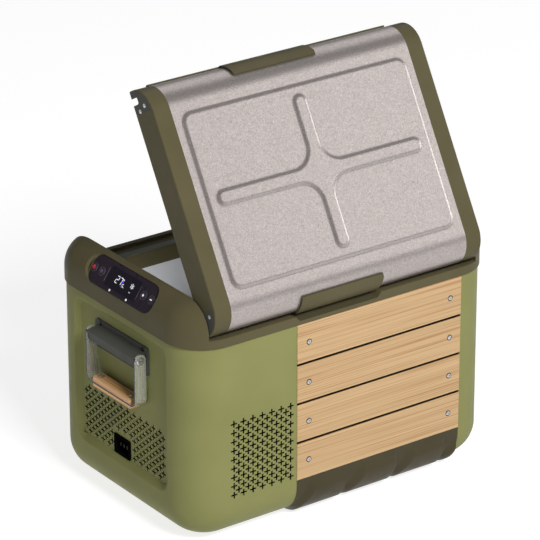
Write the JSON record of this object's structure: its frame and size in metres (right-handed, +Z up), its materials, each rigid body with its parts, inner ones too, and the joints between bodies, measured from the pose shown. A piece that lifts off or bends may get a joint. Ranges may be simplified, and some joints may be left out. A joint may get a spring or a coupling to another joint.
{
  "type": "compressor cooler fridge",
  "caption": "Portable compressor cooler with a tub, slatted sides, vent grilles, a sloping control panel, drop handles and a lid that lifts on notched hook plates.",
  "frame": {"origin": "on the floor, under the middle of the housing's footprint", "axes": "+X along the length, towards the end without the control panel; -Y is the front with the vent grille; +Z up"},
  "size_m": [0.6336, 0.4224, 0.7209],
  "materials": {
    "green_shell": "fine matte moulded",
    "slat_wood": "satin light wood",
    "grip_wood": "satin oiled wood",
    "screw_steel": "bright",
    "strap_steel": "brushed",
    "bumper_plastic": "satin dark olive",
    "olive_frame": "satin dark olive",
    "seal_rubber": "matt",
    "bracket_metal": "satin dark grey",
    "lid_metal": "fine grained",
    "liner_plastic": "smooth",
    "foam": "closed-cell foam",
    "panel_gloss": "gloss black",
    "lens": "gloss black",
    "button_plastic": "satin black",
    "light_lens": "diffuse white",
    "socket_plastic": "black",
    "contact_brass": "plated",
    "board": "lacquered",
    "black_metal": "black",
    "tray_steel": "zinc",
    "coil_aluminium": "mill",
    "fan_plastic": "black",
    "pipe_copper": "copper"
  },
  "bodies": {
    "housing": {"base_tray": "tray_steel", "compressor": "black_metal", "compressor_mounts": "seal_rubber", "condenser": "coil_aluminium", "control_panel": "panel_gloss", "display_board": "board", "display_lens": "lens", "end_vent_grille": "green_shell", "evaporator": "coil_aluminium", "fan_shroud": "fan_plastic", "front_bumper": "bumper_plastic", "front_slat_1": "slat_wood", "front_slat_2": "slat_wood", "front_slat_3": "slat_wood", "front_slat_4": "slat_wood", "front_vent_grille": "green_shell", "handle_bracket_screws": "screw_steel", "handle_pivot_bolts": "screw_steel", "hinge_pins": "screw_steel", "insulation_foam": "foam", "interior_light": "light_lens", "left_cheek": "olive_frame", "left_handle_bracket": "bracket_metal", "liner_tub": "liner_plastic", "outer_shell": "green_shell", "power_board": "board", "power_socket": "socket_plastic", "rear_bumper": "bumper_plastic", "rear_slats": "slat_wood", "refrigerant_pipes": "pipe_copper", "right_cheek": "olive_frame", "right_handle_bracket": "bracket_metal", "rim_frame": "olive_frame", "rim_seal": "seal_rubber", "rubber_feet": "seal_rubber", "slat_screws": "screw_steel", "socket_pins": "contact_brass", "status_lights": "light_lens"},
    "lid": {"lid_frame": "olive_frame", "lid_sheet": "lid_metal", "lid_inner_panel": "liner_plastic", "lid_foam": "foam", "lid_gasket": "seal_rubber", "hook_plates": "bracket_metal", "hook_screws": "screw_steel"},
    "front_latch": {"front_latch_grip": "olive_frame", "front_latch_shaft": "screw_steel"},
    "rear_latch": {"rear_latch_grip": "olive_frame", "rear_latch_shaft": "screw_steel"},
    "left_bail": {"left_handle_strap": "strap_steel", "left_handle_grips": "grip_wood", "left_handle_grip_screws": "screw_steel"},
    "right_bail": {"right_handle_strap": "strap_steel", "right_handle_grips": "grip_wood", "right_handle_grip_screws": "screw_steel"},
    "fan": {"fan_rotor": "fan_plastic"},
    "power_key": {"power_button": "button_plastic"},
    "set_key": {"set_button": "button_plastic"},
    "plus_key": {"plus_button": "button_plastic"},
    "minus_key": {"minus_button": "button_plastic"}
  },
  "joints": [
    {"name": "lid_hinge", "type": "hinge", "parent": "housing", "child": "lid", "pos_m": [0, -0.1814, 0.3822], "axis": [1, 0, 0], "range_deg": [-60, 0]},
    {"name": "front_latch_pull", "type": "hinge", "parent": "lid", "child": "front_latch", "pos_m": [0, -0.20479, 0.40309], "axis": [-1, 0, 0], "range_deg": [0, 10], "stiffness_Nm_per_rad": 1.5},
    {"name": "rear_latch_pull", "type": "hinge", "parent": "lid", "child": "rear_latch", "pos_m": [0, -0.02979, 0.7062], "axis": [1, 0, 0], "range_deg": [0, 10], "stiffness_Nm_per_rad": 1.5},
    {"name": "left_bail_swing", "type": "hinge", "parent": "housing", "child": "left_bail", "pos_m": [-0.306, 0.002, 0.292], "axis": [0, 1, 0], "range_deg": [0, 90]},
    {"name": "right_bail_swing", "type": "hinge", "parent": "housing", "child": "right_bail", "pos_m": [0.306, 0.002, 0.292], "axis": [0, -1, 0], "range_deg": [0, 90]},
    {"name": "fan_spin", "type": "hinge", "parent": "housing", "child": "fan", "pos_m": [-0.246, 0.057, 0.165], "axis": [1, 0, 0], "continuous": true},
    {"name": "power_press", "type": "slide", "parent": "housing", "child": "power_key", "axis": [0.8192, 0, -0.5736], "range_m": [0, 0.0015], "stiffness_N_per_m": 400},
    {"name": "set_press", "type": "slide", "parent": "housing", "child": "set_key", "axis": [0.8192, 0, -0.5736], "range_m": [0, 0.0015], "stiffness_N_per_m": 400},
    {"name": "plus_press", "type": "slide", "parent": "housing", "child": "plus_key", "axis": [0.8192, 0, -0.5736], "range_m": [0, 0.0015], "stiffness_N_per_m": 400},
    {"name": "minus_press", "type": "slide", "parent": "housing", "child": "minus_key", "axis": [0.8192, 0, -0.5736], "range_m": [0, 0.0015], "stiffness_N_per_m": 400}
  ]
}
